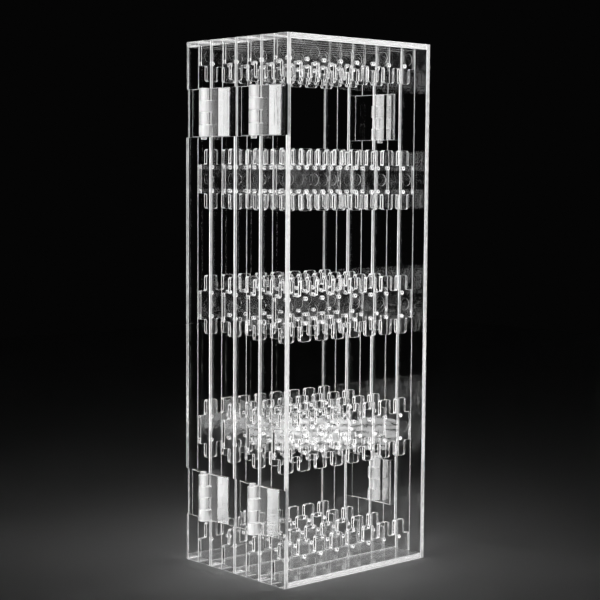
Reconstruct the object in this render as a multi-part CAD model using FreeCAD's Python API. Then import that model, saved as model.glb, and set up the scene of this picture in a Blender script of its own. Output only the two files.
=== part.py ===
import FreeCAD, Part
import math
import os

# A folding earring screen: four clear frames, joined by three pairs of hinges and folded flat together.
# Each frame holds five hanger rails with a row of teeth and a row of small holes along each free edge.
#
# Millimetres, +Z up. X runs across a frame and +Y from the front frame (1) to the rear frame (4).
# The origin is on the surface that the screen stands on, at the middle of the folded stack.

Vector = FreeCAD.Vector

# Overall sizes
HEIGHT = 380.0
WIDTH = 138.0  # over the end sections of the side panels
FRAME_DEPTH = 27.3
FRAME_COUNT = 4
FRAME_GAP = 0.4  # air between two folded frames

# Walls of a frame
SLAB_THICKNESS = 4.0  # top and base
SIDE_THICKNESS = 3.5  # end sections of a side panel
MIDDLE_RISE = 0.5  # the middle section of a hinged side stands out this much further
PARTING_BEAD_WIDTH = 0.7  # fine upright bead along the middle of each side's outer face
PARTING_BEAD_HEIGHT = 0.2

# Hanger rails
RAIL_COUNT = 5
RAIL_THICKNESS = 3.0
RAIL_PLATE_HEIGHT = 20.9
OUTER_RAIL_CENTRE = 7.2  # from the frame's end to the middle of the top or bottom rail; the slab cuts it off
TOOTH_COUNT = 8
TOOTH_WIDTH = 9.8
TOOTH_HEIGHT = 11.1
TOOTH_TIP_RADIUS = 1.8
TOOTH_ROOT_RADIUS = 1.0
RAIL_SHOULDER = 5.15  # straight edge from the side panel to the first tooth
HOLE_DIAMETER = 3.0
HOLE_INSET = 1.85  # from the plate's edge, between the teeth, to the hole's centre

# Moulding marks on the rails
MARK_DIAMETER = 8.4
MARK_DEPTH = 0.2
MARK_END_DISTANCE = 7.0  # from the side panel to the outer marks
MARK_SPACING = 25.5  # from the outer marks to the next
GATE_DIAMETER = 4.6
GATE_DEPTH = 0.5

# Hinges
HINGE_INSET = 51.5  # from each end of the screen to the hinge's middle
LEAF_HEIGHT = 34.0
LEAF_LENGTH = 21.0  # from the seam between two frames
LEAF_RISE = 2.0  # a leaf's flat part stands out this far from the panel's end section
LEAF_FLAT_LENGTH = 11.5  # from the seam; beyond it the leaf slopes down
LEAF_FIT = 0.2  # play above and below a leaf in its recess
RECESS_DEPTH = 1.1
KNUCKLE_COUNT = 4
KNUCKLE_RADIUS = 3.5
KNUCKLE_PLAY = 0.3  # air between a knuckle and the other leaf
ARM_LENGTH = 4.6  # from the seam
ARM_RISE = 1.8  # the arm's end stands this far out of the leaf
ARM_ANGLE = 40.0  # degrees, from the leaf's direction to the point where the arm meets the barrel
PIN_RADIUS = 1.5
PIN_RUNNING_CLEARANCE = 0.06
PIN_HEAD_RADIUS = 2.1
PIN_HEAD_HEIGHT = 2.2
PIN_HEAD_DOME = 0.5

CUT_MARGIN = 1.0  # a through cut runs this far past each face
TOLERANCE = 1e-6

# Worked out from the values above
FRAME_PITCH = FRAME_DEPTH + FRAME_GAP
STACK_DEPTH = FRAME_COUNT * FRAME_DEPTH + (FRAME_COUNT - 1) * FRAME_GAP
SIDE_FACE = WIDTH / 2  # outer face of an end section
INNER_FACE = SIDE_FACE - SIDE_THICKNESS
RAIL_PITCH = (HEIGHT - 2 * OUTER_RAIL_CENTRE) / (RAIL_COUNT - 1)
TOOTH_PITCH = (2 * (INNER_FACE - RAIL_SHOULDER) - TOOTH_WIDTH) / (TOOTH_COUNT - 1)
RECESS_HEIGHT = LEAF_HEIGHT + 2 * LEAF_FIT
HINGE_AXIS_OUT = LEAF_RISE + KNUCKLE_PLAY + KNUCKLE_RADIUS  # from the end section's face
KNUCKLE_HEIGHT = (LEAF_HEIGHT - (KNUCKLE_COUNT - 1) * KNUCKLE_PLAY) / KNUCKLE_COUNT
HINGE_LEVELS = {"lower": HINGE_INSET, "upper": HEIGHT - HINGE_INSET}


def box(x_range, y_range, z_range):
    """A block between two values on each axis, in either order."""
    lows = [min(r) for r in (x_range, y_range, z_range)]
    sizes = [abs(r[1] - r[0]) for r in (x_range, y_range, z_range)]
    return Part.makeBox(*sizes, Vector(*lows))


def extruded(points, direction):
    """A prism on a closed polygon."""
    return Part.Face(Part.makePolygon(points + points[:1])).extrude(direction)


def rounded_wire(corners):
    """A closed wire through (point, radius) corners, with an arc at each corner that has a radius."""
    stretches = []
    for i, (point, radius) in enumerate(corners):
        if radius == 0:
            stretches.append((point, point, None))
            continue
        back = (corners[i - 1][0] - point).normalize()
        ahead = (corners[(i + 1) % len(corners)][0] - point).normalize()
        half_angle = back.getAngle(ahead) / 2
        cut = radius / math.tan(half_angle)
        middle = point + (back + ahead).normalize() * (radius / math.sin(half_angle) - radius)
        stretches.append((point + back * cut, point + ahead * cut, middle))
    edges = []
    for i, (start, end, middle) in enumerate(stretches):
        if middle is not None:
            edges.append(Part.Arc(start, middle, end).toShape())
        next_start = stretches[(i + 1) % len(stretches)][0]
        if end.distanceToPoint(next_start) > TOLERANCE:
            edges.append(Part.makeLine(end, next_start))
    return Part.Wire(edges)


def frame_y(number):
    """The front and rear faces of a frame, counted from 1 at the front."""
    front = -STACK_DEPTH / 2 + (number - 1) * FRAME_PITCH
    return front, front + FRAME_DEPTH


def seam_y(number):
    """The middle of the gap behind a frame."""
    return frame_y(number)[1] + FRAME_GAP / 2


def seam_side(number):
    """-1 where the hinges behind this frame are on the left, +1 on the right. They alternate, for a zigzag."""
    return -1 if number % 2 else 1


def is_hinged(number, side):
    """Whether a frame has leaves on this side."""
    behind = number < FRAME_COUNT and seam_side(number) == side
    ahead = number > 1 and seam_side(number - 1) == side
    return behind or ahead


def parting_bead(face_x, side, y_middle, z_range):
    """The fine upright bead on a side's outer face."""
    half = PARTING_BEAD_WIDTH / 2
    points = [
        Vector(face_x, y_middle - half, z_range[0]),
        Vector(face_x, y_middle + half, z_range[0]),
        Vector(face_x + side * PARTING_BEAD_HEIGHT, y_middle, z_range[0]),
    ]
    return extruded(points, Vector(0, 0, z_range[1] - z_range[0]))


def side_panel(number, side):
    """An upright side of a frame. A hinged one has two recesses for leaves and a raised middle section."""
    y_range = frame_y(number)
    y_middle = sum(y_range) / 2
    panel = box((side * INNER_FACE, side * SIDE_FACE), y_range, (0, HEIGHT))
    if not is_hinged(number, side):
        return panel.fuse(parting_bead(side * SIDE_FACE, side, y_middle, (0, HEIGHT)))
    half = RECESS_HEIGHT / 2
    lower, upper = HINGE_LEVELS["lower"], HINGE_LEVELS["upper"]
    raised_face = SIDE_FACE + MIDDLE_RISE
    middle_z = (lower + half, upper - half)
    extras = [
        box((side * SIDE_FACE, side * raised_face), y_range, middle_z),
        parting_bead(side * raised_face, side, y_middle, middle_z),
        parting_bead(side * SIDE_FACE, side, y_middle, (0, lower - half)),
        parting_bead(side * SIDE_FACE, side, y_middle, (upper + half, HEIGHT)),
    ]
    panel = panel.fuse(extras)
    recess_x = (side * (SIDE_FACE - RECESS_DEPTH), side * SIDE_FACE)
    recesses = [box(recess_x, y_range, (z - half, z + half)) for z in (lower, upper)]
    return panel.cut(recesses).removeSplitter()


def slab(number, z_low):
    """The top or the base of a frame, between its sides."""
    return box((-INNER_FACE, INNER_FACE), frame_y(number), (z_low, z_low + SLAB_THICKNESS))


def tooth_centres():
    """The teeth's places across a frame."""
    first = -(TOOTH_COUNT - 1) / 2 * TOOTH_PITCH
    return [first + i * TOOTH_PITCH for i in range(TOOTH_COUNT)]


def toothed_edge(y, z_edge, up):
    """Corners of a toothed edge from left to right. up is +1 where the teeth point up, -1 where they point down."""
    z_tip = z_edge + up * TOOTH_HEIGHT
    corners = [(Vector(-INNER_FACE, y, z_edge), 0)]
    for x in tooth_centres():
        left, right = x - TOOTH_WIDTH / 2, x + TOOTH_WIDTH / 2
        corners += [
            (Vector(left, y, z_edge), TOOTH_ROOT_RADIUS),
            (Vector(left, y, z_tip), TOOTH_TIP_RADIUS),
            (Vector(right, y, z_tip), TOOTH_TIP_RADIUS),
            (Vector(right, y, z_edge), TOOTH_ROOT_RADIUS),
        ]
    return corners + [(Vector(INNER_FACE, y, z_edge), 0)]


def plain_edge(y, z_edge):
    """The two corners of an edge that meets a slab."""
    return [(Vector(-INNER_FACE, y, z_edge), 0), (Vector(INNER_FACE, y, z_edge), 0)]


def rail_plate(number):
    """The lowest and highest height of a rail's plate, and whether each edge has teeth. 1 is the top rail."""
    middle = HEIGHT - OUTER_RAIL_CENTRE - (number - 1) * RAIL_PITCH
    low, high = middle - RAIL_PLATE_HEIGHT / 2, middle + RAIL_PLATE_HEIGHT / 2
    if number == 1:
        return low, HEIGHT - SLAB_THICKNESS, True, False
    if number == RAIL_COUNT:
        return SLAB_THICKNESS, high, False, True
    return low, high, True, True


def mark_places():
    """The moulding marks' places across a rail."""
    outer = INNER_FACE - MARK_END_DISTANCE
    inner = outer - MARK_SPACING
    return [-outer, -inner, 0, inner, outer]


def rail(frame_number, rail_number):
    """A hanger rail, glued between a frame's sides halfway back."""
    y_middle = sum(frame_y(frame_number)) / 2
    y_front = y_middle - RAIL_THICKNESS / 2
    low, high, teeth_down, teeth_up = rail_plate(rail_number)
    top_edge = toothed_edge(y_front, high, 1) if teeth_up else plain_edge(y_front, high)
    bottom_edge = toothed_edge(y_front, low, -1) if teeth_down else plain_edge(y_front, low)
    outline = rounded_wire(top_edge + bottom_edge[::-1])
    along_y = Vector(0, 1, 0)
    plate = Part.Face(outline).extrude(along_y * RAIL_THICKNESS)
    rows = []
    if teeth_up:
        rows.append(high - HOLE_INSET)
    if teeth_down:
        rows.append(low + HOLE_INSET)
    cuts = []
    for z in rows:
        for x in tooth_centres():
            start = Vector(x, y_front - CUT_MARGIN, z)
            cuts.append(Part.makeCylinder(HOLE_DIAMETER / 2, RAIL_THICKNESS + 2 * CUT_MARGIN, start, along_y))
    z_marks = (low + high) / 2
    for x in mark_places():
        cuts.append(Part.makeCylinder(MARK_DIAMETER / 2, MARK_DEPTH, Vector(x, y_front, z_marks), along_y))
    if not (teeth_up and teeth_down):
        cuts.append(Part.makeCylinder(GATE_DIAMETER / 2, GATE_DEPTH, Vector(0, y_front, z_marks), along_y))
    return plate.cut(cuts)


# A hinge is modelled once in its own frame: +X out of the screen's side, with 0 at the end section's face;
# +Y towards the leaf that holds the pin, with 0 at the seam; +Z away from the pin's head, 0 at half height.


def knuckle_z(place):
    """The lowest and highest height of a knuckle, counted from 0 next to the pin's head."""
    low = -LEAF_HEIGHT / 2 + place * (KNUCKLE_HEIGHT + KNUCKLE_PLAY)
    return low, low + KNUCKLE_HEIGHT


def knuckle(towards, z_range):
    """A knuckle with the arm that joins it to its leaf. towards is +1 or -1, the leaf's side of the seam."""
    height = z_range[1] - z_range[0]
    seam = towards * FRAME_GAP / 2
    barrel = Part.makeCylinder(KNUCKLE_RADIUS, height, Vector(HINGE_AXIS_OUT, 0, z_range[0]))
    arm_top = HINGE_AXIS_OUT + KNUCKLE_RADIUS * math.sin(math.radians(ARM_ANGLE))
    arm_side = towards * KNUCKLE_RADIUS * math.cos(math.radians(ARM_ANGLE))
    outline = [
        Vector(LEAF_RISE, seam, z_range[0]),
        Vector(LEAF_RISE, towards * ARM_LENGTH, z_range[0]),
        Vector(LEAF_RISE + ARM_RISE, towards * ARM_LENGTH, z_range[0]),
        Vector(arm_top, arm_side, z_range[0]),
        Vector(HINGE_AXIS_OUT, seam, z_range[0]),
    ]
    return barrel.fuse(extruded(outline, Vector(0, 0, height)))


def leaf(towards, bore_radius):
    """A hinge leaf: a plate that slopes down at its far end, with every second knuckle."""
    bottom = -LEAF_HEIGHT / 2
    seam = towards * FRAME_GAP / 2
    outline = [
        Vector(-RECESS_DEPTH, seam, bottom),
        Vector(LEAF_RISE, seam, bottom),
        Vector(LEAF_RISE, towards * LEAF_FLAT_LENGTH, bottom),
        Vector(0, towards * LEAF_LENGTH, bottom),
        Vector(-RECESS_DEPTH, towards * LEAF_LENGTH, bottom),
    ]
    first_place = 0 if towards > 0 else 1
    knuckles = [knuckle(towards, knuckle_z(place)) for place in range(first_place, KNUCKLE_COUNT, 2)]
    solid = extruded(outline, Vector(0, 0, LEAF_HEIGHT)).fuse(knuckles)
    start = Vector(HINGE_AXIS_OUT, 0, bottom - CUT_MARGIN)
    bore = Part.makeCylinder(bore_radius, LEAF_HEIGHT + 2 * CUT_MARGIN, start)
    return solid.cut(bore).removeSplitter()


def pin():
    """A hinge pin: a shank with a domed head at its lower end."""
    bottom = -LEAF_HEIGHT / 2
    centre = Vector(HINGE_AXIS_OUT, 0, bottom)
    shank = Part.makeCylinder(PIN_RADIUS, LEAF_HEIGHT, centre)
    head = Part.makeCylinder(PIN_HEAD_RADIUS, PIN_HEAD_HEIGHT, centre, Vector(0, 0, -1))
    rim = [e for e in head.Edges if abs(e.CenterOfMass.z - (bottom - PIN_HEAD_HEIGHT)) < TOLERANCE]
    return shank.fuse(head.makeFillet(PIN_HEAD_DOME, rim)).removeSplitter()


def hinge_placement(seam, level):
    """Carries a hinge from its own frame to its place. The heads of a seam's two pins point at each other."""
    side = seam_side(seam)
    up = 1 if level == "upper" else -1
    out = Vector(side, 0, 0)
    axis = Vector(0, 0, up)
    towards = axis.cross(out)
    origin = Vector(side * SIDE_FACE, seam_y(seam), HINGE_LEVELS[level])
    rotation = FreeCAD.Rotation(out, towards, axis, "XYZ")
    return FreeCAD.Placement(origin, rotation)


def frame_parts(number):
    """The nine pieces of one frame, by node name."""
    name = f"frame_{number}"
    parts = {
        f"{name}_left_side": side_panel(number, -1),
        f"{name}_right_side": side_panel(number, 1),
        f"{name}_top": slab(number, HEIGHT - SLAB_THICKNESS),
        f"{name}_base": slab(number, 0),
    }
    for rail_number in range(1, RAIL_COUNT + 1):
        parts[f"{name}_rail_{rail_number}"] = rail(number, rail_number)
    return parts


def hinge_parts(seam, level):
    """The two leaves and the pin of one hinge, by node name."""
    placement = hinge_placement(seam, level)
    holder_is_rear = placement.Rotation.multVec(Vector(0, 1, 0)).y > 0
    holder, follower = ("rear", "front") if holder_is_rear else ("front", "rear")
    name = f"hinge_{seam}_{level}"
    parts = {
        f"{name}_{holder}_leaf": leaf(1, PIN_RADIUS),
        f"{name}_{follower}_leaf": leaf(-1, PIN_RADIUS + PIN_RUNNING_CLEARANCE),
        f"{name}_pin": pin(),
    }
    return {node: shape.transformed(placement.toMatrix()) for node, shape in parts.items()}


def all_parts():
    """Every piece of the screen, by node name."""
    parts = {}
    for number in range(1, FRAME_COUNT + 1):
        parts.update(frame_parts(number))
    for seam in range(1, FRAME_COUNT):
        for level in HINGE_LEVELS:
            parts.update(hinge_parts(seam, level))
    return parts


os.makedirs("parts", exist_ok=True)
for node, shape in all_parts().items():
    if len(shape.Solids) != 1 or not shape.isValid():
        raise RuntimeError(f"{node} is not one valid solid")
    shape.Solids[0].exportStep(f"parts/{node}.step")
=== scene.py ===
import math

import bpy
from mathutils import Euler, Matrix, Vector


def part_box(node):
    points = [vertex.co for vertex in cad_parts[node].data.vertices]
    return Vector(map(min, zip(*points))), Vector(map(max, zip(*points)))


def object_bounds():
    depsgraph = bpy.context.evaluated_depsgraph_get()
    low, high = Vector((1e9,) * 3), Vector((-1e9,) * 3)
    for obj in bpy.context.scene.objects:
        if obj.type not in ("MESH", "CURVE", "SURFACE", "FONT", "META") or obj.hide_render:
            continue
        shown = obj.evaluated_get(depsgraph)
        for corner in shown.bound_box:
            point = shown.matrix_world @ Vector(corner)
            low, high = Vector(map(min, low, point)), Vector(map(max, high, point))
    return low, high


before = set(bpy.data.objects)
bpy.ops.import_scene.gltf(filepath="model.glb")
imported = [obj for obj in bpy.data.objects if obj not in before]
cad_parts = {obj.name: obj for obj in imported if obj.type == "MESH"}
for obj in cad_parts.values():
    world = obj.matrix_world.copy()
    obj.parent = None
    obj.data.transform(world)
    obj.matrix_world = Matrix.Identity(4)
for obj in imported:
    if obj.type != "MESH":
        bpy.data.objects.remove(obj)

# A clear folding earring screen, folded, standing on a pale floor against the dark, as clear plastic is
# usually shown: lamps stand all round it, out of sight, and its edges catch their light, helped by white
# highlights and glow painted along them.
# Metres and degrees, in the row frame. Azimuths count from +X towards +Y.

cad_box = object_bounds()
low, high = cad_box
middle = (low + high) / 2

FRAMES = range(1, 5)

# Camera
CAMERA_PLACE = Vector((-0.7429, -0.8301, 0.2823))
CAMERA_YAW = 41.55  # to the right of +Y
CAMERA_PITCH = 4.58  # downwards
CAMERA_ROLL = 0.36
CAMERA_LENS = 91.16  # mm

# Shape of the plastic's surface
AIR_GAP = 0.00002  # each piece is drawn this much smaller all round, so that glued faces stay two surfaces
WELD_DISTANCE = 0.000002
EDGE_ROUNDING = 0.00025
EDGE_STEPS = 2
ROUNDED_ANGLE = 35  # sharper edges than this are rounded
BUMP_HEIGHT = 0.001
WAVE_SCALE = 70.0  # this and the other scales of noise count its repeats in a metre
GRAIN_SCALE = 900.0
GRAIN_SHARE = 0.02  # of the waves' height
STREAK_SCALE = 500.0
STREAK_DRAW = 0.03  # repeats of a streak going upwards, as a share of those going across
SHEET_WAVES = 0.02
RAIL_WAVES = 0.08
HINGE_WAVES = 0.1
SIDE_STREAKS = 1.0
HINGE_STREAKS = 0.5

# Finish of the plastic
REFRACTION = 1.49
CLEAR_TINT = 0.99
SHADOW_TINT = 0.97  # share of a lamp's light that one surface lets through
EDGE_PAINT_GREY = 0.94  # grey of the white shading that paints highlights and glow on edges
EDGE_PAINT_ROUGHNESS = 0.35
KNUCKLE_PAINT_GREY = 0.72  # grey of the milky white painted on the thick knuckles, in place of the light they bend
LEAF_KNUCKLE_PAINT = 0.45  # share of a knuckle painted milky white
PIN_KNUCKLE_PAINT = 0.3
KNUCKLE_FACE = 0.0712  # from the screen's middle to just outside a hinge's plates, where its knuckles begin
KNUCKLE_BLEND = 0.0004
# Painted edge glow: the sawn edges of side panels and slabs are shaded white in place of the light that
# clear edges carry.
SIDE_EDGE_GLOW = 0.5  # share of painted white glow on the sawn edges, inside their painted white corners
SLAB_EDGE_GLOW = 0.2
EDGE_GLOW_SCALE = 300.0
EDGE_GLOW_LEAST = 0.6  # share of the painted edge glow where it is weakest
NOISE_LOW, NOISE_HIGH = 0.3, 0.7  # most of the noise lies between these
FLOW_WHITE = 0.04  # flow marks in the moulded rails
FLOW_SCALE = 120.0
FLOW_DETAIL = 6.0
FLOW_FROM, FLOW_TO = 0.5, 0.75

# Painted highlights: white along corners, rounded edges and curved rims, for the light that clear edges
# catch. A lean is how far the surface faces along an axis, from 0 to 1.
EDGE_HIGHLIGHT = 0.95  # share of the painted white highlight on an edge
CORNER_WIDTH = 0.00035
ROUNDED_FROM, ROUNDED_TO = 0.3, 0.97  # lean of a rounded edge, which faces and slopes stay clear of
ROUNDED_BLEND = 0.1
SIDEWAYS, FACING = 0.5, 0.9  # lean of faces that turn away from an axis, and of those that face along it
FLAT_RIM, CURVED_RIM = 0.99, 0.94
CURVED_HIGHLIGHT = 0.6

# Lights. The softboxes light only the faces painted white: the edge highlights and glow, and the milky
# knuckles. The slim strips, all round, are what clear faces reflect and bend. They stand where flat faces
# seldom mirror them or show them, seen from the front, back, sides and corners.
SOFTBOX_DISTANCE = 1.8
SOFTBOX_SIZE = (0.9, 1.3)
SOFTBOX_HEIGHT = 0.6
SOFTBOX_POWER = 32.0
SOFTBOX_AZIMUTHS = (30, 100, 170, 340)
FRONT_SOFTBOX_POWER = 14.0
FRONT_SOFTBOX_AZIMUTHS = (225, 285)
TOP_SIZE = (0.9, 0.9)
TOP_PLACE = Vector((0, 0, 1.7))
TOP_POWER = 8.0
STRIP_DISTANCE = 2.2
STRIP_SIZE = (0.14, 1.6)
STRIP_HEIGHT = 0.4
STRIP_POWER = 3.0
STRIP_AZIMUTHS = (22.5, 166.0, 202.5, 246.3, 293.7, 337.5)
REAR_STRIP_AZIMUTH = 100.0  # this one is behind the unfolded screen, so it is kept off rails and slabs

# Small strips that shine on a few nodes each
GLOW_AZIMUTH = 65.5  # seen through the sloping ends of the upper left leaves
GLOW_HEIGHT = 0.43
GLOW_SIZE = (0.36, 0.2)
GLOW_POWER = 0.22
LOW_STRIP_X, LOW_STRIP_Y = 0.21, -0.249  # in front, where the wavy faces of rail 4 reflect them
LOW_STRIP_HEIGHTS = (0.037, 0.043, 0.049, 0.055, 0.061)
LOW_STRIP_SIZE = (0.18, 0.0045)
LOW_STRIP_POWER = 0.0015
LOW_STRIP_SPREAD = 60.0
LEAF_STRIP_PLACE = Vector((-0.186, 0.041, 0.0235))  # reflected in the sloping ends of the lower left leaves
LEAF_STRIP_AZIMUTH = -26.0  # which way it faces
LEAF_STRIP_SIZE = (0.082, 0.045)
LEAF_STRIP_POWER = 0.018
LEAF_STRIP_SPREAD = 30.0

# Floor and the pool of light on it
FLOOR_HALF = 1.5
FLOOR_DROP = 0.0002
FLOOR_GREY = 0.75
FLOOR_ROUGHNESS = 0.7
POOL_PLACE = Vector((-0.1, -0.1, 1.6))
POOL_POWER = 0.8
POOL_ANGLE = 22.0
POOL_SOFTNESS = 0.12
DARKNESS = 0.0015


def make_camera():
    data = bpy.data.cameras.new("camera")
    data.lens = CAMERA_LENS
    camera = bpy.data.objects.new("camera", data)
    bpy.context.scene.collection.objects.link(camera)
    turn = Euler((math.radians(90 - CAMERA_PITCH), 0, math.radians(-CAMERA_YAW))).to_matrix()
    roll = Matrix.Rotation(math.radians(CAMERA_ROLL), 3, "Z")
    camera.matrix_world = Matrix.Translation(CAMERA_PLACE) @ (turn @ roll).to_4x4()
    bpy.context.scene.camera = camera


# Materials


def grey(value):
    return value, value, value, 1


class Shader:
    """A material's node tree, with short calls to add nodes to it."""

    def __init__(self, name):
        self.material = bpy.data.materials.new(name)
        self.material.use_nodes = True
        self.tree = self.material.node_tree
        self.tree.nodes.clear()

    def add(self, kind, inputs=None, **settings):
        """A new node. Each input is a value or another node's output."""
        node = self.tree.nodes.new(kind)
        for key, value in settings.items():
            setattr(node, key, value)
        for key, value in (inputs or {}).items():
            if isinstance(value, bpy.types.NodeSocket):
                self.tree.links.new(value, node.inputs[key])
            else:
                node.inputs[key].default_value = value
        return node.outputs[0]

    def math(self, operation, *values):
        return self.add("ShaderNodeMath", dict(enumerate(values)), operation=operation)

    def times(self, first, second):
        return self.math("MULTIPLY", first, second)

    def greater(self, first, second):
        return self.math("MAXIMUM", first, second)

    def ramp(self, value, start, end, out_start=0.0, out_end=1.0):
        ends = {"From Min": start, "From Max": end, "To Min": out_start, "To Max": out_end}
        return self.add("ShaderNodeMapRange", {"Value": value, **ends})

    def mix(self, factor, first, second):
        return self.add("ShaderNodeMixShader", {0: factor, 1: first, 2: second})

    def coordinates(self, kind):
        return self.tree.nodes.new("ShaderNodeTexCoord").outputs[kind]

    def part_of(self, vector, axis):
        node = self.tree.nodes.new("ShaderNodeSeparateXYZ")
        self.tree.links.new(vector, node.inputs[0])
        return node.outputs[axis]

    def noise(self, scale, detail=2.0, upright=1.0):
        """Noise, drawn out upright where upright is under 1."""
        stretch = {"Vector": self.coordinates("Object"), "Scale": (1, 1, upright)}
        place = self.add("ShaderNodeMapping", stretch)
        return self.add("ShaderNodeTexNoise", {"Vector": place, "Scale": scale, "Detail": detail})

    def bump(self, height, strength, distance):
        inputs = {"Height": height, "Strength": strength, "Distance": distance}
        return self.add("ShaderNodeBump", inputs)

    def finish(self, surface):
        output = self.tree.nodes.new("ShaderNodeOutputMaterial")
        self.tree.links.new(surface, output.inputs["Surface"])
        return self.material


def glass(s, normal):
    inputs = {
        "Base Color": grey(CLEAR_TINT),
        "Transmission Weight": 1.0,
        "IOR": REFRACTION,
        "Roughness": 0.0,
        "Normal": normal,
    }
    return s.add("ShaderNodeBsdfPrincipled", inputs)


# White diffuse shading, which paints the highlights and glow on edges and the milky white on knuckles.
def painted_white(s, normal, brightness=EDGE_PAINT_GREY):
    inputs = {"Base Color": grey(brightness), "Roughness": EDGE_PAINT_ROUGHNESS, "Normal": normal}
    return s.add("ShaderNodeBsdfPrincipled", inputs)


def lets_lamps_through(s, surface):
    path = s.tree.nodes.new("ShaderNodeLightPath")
    clear = s.add("ShaderNodeBsdfTransparent", {"Color": grey(SHADOW_TINT)})
    return s.mix(path.outputs["Is Shadow Ray"], surface, clear)


def leaning(s, axis):
    """How far the surface faces along an axis, either way, from 0 to 1."""
    return s.math("ABSOLUTE", s.part_of(s.coordinates("Normal"), axis))


def rounded_highlight(s, lean):
    """Painted highlight: 1 on edges rounded between a face that leans and one that doesn't, and 0 on those
    faces.
    """
    rising = s.ramp(lean, ROUNDED_FROM, ROUNDED_FROM + ROUNDED_BLEND)
    falling = s.ramp(lean, ROUNDED_TO - ROUNDED_BLEND, ROUNDED_TO, 1.0, 0.0)
    return s.times(rising, falling)


def curved_highlight(s):
    """Painted highlight, of the curved highlight share, where a rim curves, in holes and round the teeth's
    corners, and 0 where it is flat.
    """
    lean = s.greater(leaning(s, "X"), leaning(s, "Z"))
    return s.ramp(lean, FLAT_RIM, CURVED_RIM, 0.0, CURVED_HIGHLIGHT)


def middle_y(node):
    """The middle of a node's box, from front to rear."""
    return sum(end.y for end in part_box(node)) / 2


def from_rail_middle(s):
    """How far a point of a rail is from the rail's middle plane. Those planes are one frame apart."""
    first = middle_y("frame_1_rail_3")
    reach = (middle_y("frame_2_rail_3") - first) / 2
    y = s.part_of(s.coordinates("Object"), "Y")
    wrapped = s.math("WRAP", y, first + reach, first - reach)
    return s.math("ABSOLUTE", s.math("SUBTRACT", wrapped, first))


def moulded_normal(s, waviness, streaks=0.0):
    """The shallow waves and fine grain of a moulded or drawn face, with upright streaks where asked."""
    grain = s.times(s.noise(GRAIN_SCALE), GRAIN_SHARE)
    height = s.math("ADD", s.noise(WAVE_SCALE), grain)
    if streaks:
        drawn = s.noise(STREAK_SCALE, 1.0, STREAK_DRAW)
        height = s.math("ADD", height, s.times(drawn, streaks))
    return s.bump(height, waviness, BUMP_HEIGHT)


def uneven(s, strength):
    """A strength that varies over the surface."""
    return s.ramp(s.noise(EDGE_GLOW_SCALE), NOISE_LOW, NOISE_HIGH, EDGE_GLOW_LEAST * strength, strength)


# white is the share of painted highlight and glow, shaded white in place of clear glass.
def clear_and_painted_white(s, white, normal):
    surface = s.mix(white, glass(s, normal), painted_white(s, normal))
    return s.finish(lets_lamps_through(s, surface))


def corner_highlight(s, distance, half_thickness):
    """Painted highlight, of the edge highlight share, close to a sheet's two faces, and 0 inside. distance
    is from its middle plane.
    """
    start = half_thickness - 2 * CORNER_WIDTH
    return s.ramp(distance, start, start + CORNER_WIDTH, 0.0, EDGE_HIGHLIGHT)


def sheet_plastic(name, node, axis, edge_glow, streaks):
    """Polished sheet, square to an axis, on both sides of the screen's middle.

    Its sawn front and rear edges carry painted white glow by the given share, and painted white highlights
    along their corners.
    """
    s = Shader(name)
    i = "XYZ".index(axis)
    near, far = sorted(abs(end[i] - middle[i]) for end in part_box(node))
    lean = leaning(s, "Y")
    place = s.math("SUBTRACT", s.part_of(s.coordinates("Object"), axis), middle[i])
    outwards = s.math("ABSOLUTE", place)
    distance = s.math("ABSOLUTE", s.math("SUBTRACT", outwards, (near + far) / 2))
    edge = s.greater(corner_highlight(s, distance, (far - near) / 2), uneven(s, edge_glow))
    sawn = s.times(s.ramp(lean, SIDEWAYS, FACING), edge)
    white = s.greater(sawn, s.times(rounded_highlight(s, lean), EDGE_HIGHLIGHT))
    return clear_and_painted_white(s, white, moulded_normal(s, SHEET_WAVES, streaks))


def rail_plastic():
    """Moulded plate with flow marks and a clear rim, with painted white highlights only along its two
    corners, where it curves, and on rounded edges.
    """
    s = Shader("clear_rail")
    lean = leaning(s, "Y")
    front, rear = (end.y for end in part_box("frame_1_rail_3"))
    corner = corner_highlight(s, from_rail_middle(s), (rear - front) / 2)
    rim = s.times(s.ramp(lean, FACING, SIDEWAYS), s.greater(corner, curved_highlight(s)))
    marks = s.ramp(s.noise(FLOW_SCALE, FLOW_DETAIL), FLOW_FROM, FLOW_TO)
    faces = s.greater(rim, s.times(marks, FLOW_WHITE))
    white = s.greater(faces, s.times(rounded_highlight(s, lean), EDGE_HIGHLIGHT))
    return clear_and_painted_white(s, white, moulded_normal(s, RAIL_WAVES))


def hinge_plastic(name, knuckle_paint):
    """Moulded plastic, clear in the plates, with milky white painted on the thick knuckles for the light
    they bend, and painted white highlights on edges.
    """
    s = Shader(name)
    normal = moulded_normal(s, HINGE_WAVES, HINGE_STREAKS)
    across = s.math("ABSOLUTE", s.part_of(s.coordinates("Object"), "X"))
    knuckle = s.ramp(across, KNUCKLE_FACE, KNUCKLE_FACE + KNUCKLE_BLEND)
    plate = s.math("SUBTRACT", 1.0, knuckle)
    # Painted highlights: white along the plates' rounded front and rear edges, and along every rounded edge
    # facing up or down.
    plate_edges = s.times(rounded_highlight(s, leaning(s, "Y")), plate)
    edges = s.greater(plate_edges, rounded_highlight(s, leaning(s, "Z")))
    # Painted brightness: the knuckles are shaded milky white in place of the light that their thick clear
    # plastic bends.
    body = s.mix(s.times(knuckle, knuckle_paint), glass(s, normal), painted_white(s, normal, KNUCKLE_PAINT_GREY))
    surface = s.mix(s.times(edges, EDGE_HIGHLIGHT), body, painted_white(s, normal))
    return s.finish(lets_lamps_through(s, surface))


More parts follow.
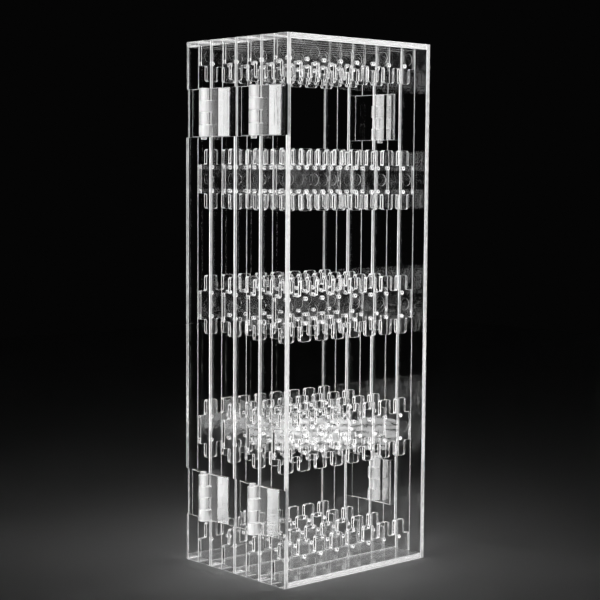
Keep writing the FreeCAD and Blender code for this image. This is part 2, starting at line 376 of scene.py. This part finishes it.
def dress(name, material):
    """Gives a node its material, air round it, and rounded edges."""
    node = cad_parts[name]
    node.data.materials.clear()
    node.data.materials.append(material)
    weld = node.modifiers.new("weld", "WELD")
    weld.merge_threshold = WELD_DISTANCE
    gap = node.modifiers.new("gap", "DISPLACE")
    gap.strength = -AIR_GAP
    gap.mid_level = 0
    bevel = node.modifiers.new("bevel", "BEVEL")
    bevel.width = EDGE_ROUNDING
    bevel.segments = EDGE_STEPS
    bevel.limit_method = "ANGLE"
    bevel.angle_limit = math.radians(ROUNDED_ANGLE)


def dress_all():
    side = sheet_plastic("clear_side", "frame_1_right_side", "X", SIDE_EDGE_GLOW, SIDE_STREAKS)
    slab = sheet_plastic("clear_slab", "frame_1_top", "Z", SLAB_EDGE_GLOW, 0.0)
    rail = rail_plastic()
    leaf = hinge_plastic("clear_leaf", LEAF_KNUCKLE_PAINT)
    pin = hinge_plastic("clear_pin", PIN_KNUCKLE_PAINT)
    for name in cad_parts:
        if "_rail_" in name:
            dress(name, rail)
        elif name.endswith("_leaf"):
            dress(name, leaf)
        elif name.endswith("_pin"):
            dress(name, pin)
        elif name.endswith("_side"):
            dress(name, side)
        else:
            dress(name, slab)


def make_floor():
    s = Shader("floor")
    inputs = {"Base Color": grey(FLOOR_GREY), "Roughness": FLOOR_ROUGHNESS}
    surface = s.add("ShaderNodeBsdfPrincipled", inputs)
    mesh = bpy.data.meshes.new("floor")
    corners = [(-1, -1), (1, -1), (1, 1), (-1, 1)]
    points = [(x * FLOOR_HALF, y * FLOOR_HALF, 0) for x, y in corners]
    mesh.from_pydata(points, [], [(0, 1, 2, 3)])
    mesh.materials.append(s.finish(surface))
    floor = bpy.data.objects.new("floor", mesh)
    floor.location.z = low.z - FLOOR_DROP
    bpy.context.scene.collection.objects.link(floor)


# Lights


def around(azimuth, distance, height):
    angle = math.radians(azimuth)
    return Vector((distance * math.cos(angle), distance * math.sin(angle), height))


def receivers(name, node_names):
    """A collection of the nodes that a light is to light."""
    collection = bpy.data.collections.new(name)
    for node_name in node_names:
        collection.objects.link(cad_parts[node_name])
    return collection


def add_light(name, kind, place, aim, power):
    data = bpy.data.lights.new(name, kind)
    data.energy = power
    light = bpy.data.objects.new(name, data)
    light.location = place
    light.rotation_euler = (aim - place).to_track_quat("-Z", "Y").to_euler()
    light.visible_camera = False
    bpy.context.scene.collection.objects.link(light)
    return light


def area_light(name, place, aim, size, power, lit):
    light = add_light(name, "AREA", place, aim, power)
    light.data.shape = "RECTANGLE"
    light.data.size, light.data.size_y = size
    light.light_linking.receiver_collection = lit
    return light


def softbox(name, azimuth, power, lit):
    """A wide light that the faces painted white catch, and clear faces don't show."""
    place = around(azimuth, SOFTBOX_DISTANCE, SOFTBOX_HEIGHT)
    light = area_light(name, place, middle, SOFTBOX_SIZE, power, lit)
    light.visible_glossy = False
    light.visible_transmission = False


def strip(name, place, aim, size, power, lit):
    """A slim light that clear faces show."""
    light = area_light(name, place, aim, size, power, lit)
    light.visible_diffuse = False
    return light


def tall_strip(name, azimuth, lit):
    place = around(azimuth, STRIP_DISTANCE, STRIP_HEIGHT)
    strip(name, place, Vector((0, 0, STRIP_HEIGHT)), STRIP_SIZE, STRIP_POWER, lit)


def make_softboxes(lit):
    for azimuth in SOFTBOX_AZIMUTHS:
        softbox(f"softbox_{azimuth}", azimuth, SOFTBOX_POWER, lit)
    for azimuth in FRONT_SOFTBOX_AZIMUTHS:
        softbox(f"softbox_{azimuth}", azimuth, FRONT_SOFTBOX_POWER, lit)
    area_light("top_light", TOP_PLACE, middle, TOP_SIZE, TOP_POWER, lit)


def make_tall_strips(lit):
    for i, azimuth in enumerate(STRIP_AZIMUTHS):
        tall_strip(f"strip_{i}", azimuth, lit)
    uprights = [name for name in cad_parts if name.endswith("_side") or name.startswith("hinge_")]
    tall_strip("rear_strip", REAR_STRIP_AZIMUTH, receivers("lit_by_rear_strip", uprights))


def make_glow():
    lit = receivers("lit_by_glow", ("frame_1_left_side", "frame_3_left_side"))
    place = around(GLOW_AZIMUTH, STRIP_DISTANCE, GLOW_HEIGHT)
    strip("glow", place, Vector((0, 0, GLOW_HEIGHT)), GLOW_SIZE, GLOW_POWER, lit)


def make_low_strips():
    lit = receivers("lit_by_low_strips", [f"frame_{i}_rail_4" for i in FRAMES])
    for i, height in enumerate(LOW_STRIP_HEIGHTS):
        place = Vector((LOW_STRIP_X, LOW_STRIP_Y, height))
        aim = Vector((0, 0, height))
        light = strip(f"low_strip_{i}", place, aim, LOW_STRIP_SIZE, LOW_STRIP_POWER, lit)
        light.data.spread = math.radians(LOW_STRIP_SPREAD)


def make_leaf_strip():
    lit = receivers("lit_by_leaf_strip", ("hinge_1_lower_front_leaf", "hinge_3_lower_front_leaf"))
    aim = LEAF_STRIP_PLACE + around(LEAF_STRIP_AZIMUTH, 1.0, 0.0)
    light = strip("leaf_strip", LEAF_STRIP_PLACE, aim, LEAF_STRIP_SIZE, LEAF_STRIP_POWER, lit)
    light.visible_transmission = False
    light.data.spread = math.radians(LEAF_STRIP_SPREAD)


def make_pool():
    pool = add_light("pool", "SPOT", POOL_PLACE, Vector(), POOL_POWER)
    pool.data.spot_size = math.radians(POOL_ANGLE)
    pool.data.spot_blend = 1
    pool.data.shadow_soft_size = POOL_SOFTNESS


def make_lights():
    """All the lights but the pool shine on the screen alone, so that the floor doesn't grey the dark."""
    screen = receivers("lit_by_softboxes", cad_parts)
    make_softboxes(screen)
    make_tall_strips(screen)
    make_glow()
    make_low_strips()
    make_leaf_strip()
    make_pool()


def make_world():
    world = bpy.data.worlds.new("world")
    bpy.context.scene.world = world
    world.use_nodes = True
    world.node_tree.nodes["Background"].inputs["Color"].default_value = grey(DARKNESS)
    bpy.context.scene.view_settings.view_transform = "Standard"


make_camera()
dress_all()
make_floor()
make_lights()
make_world()
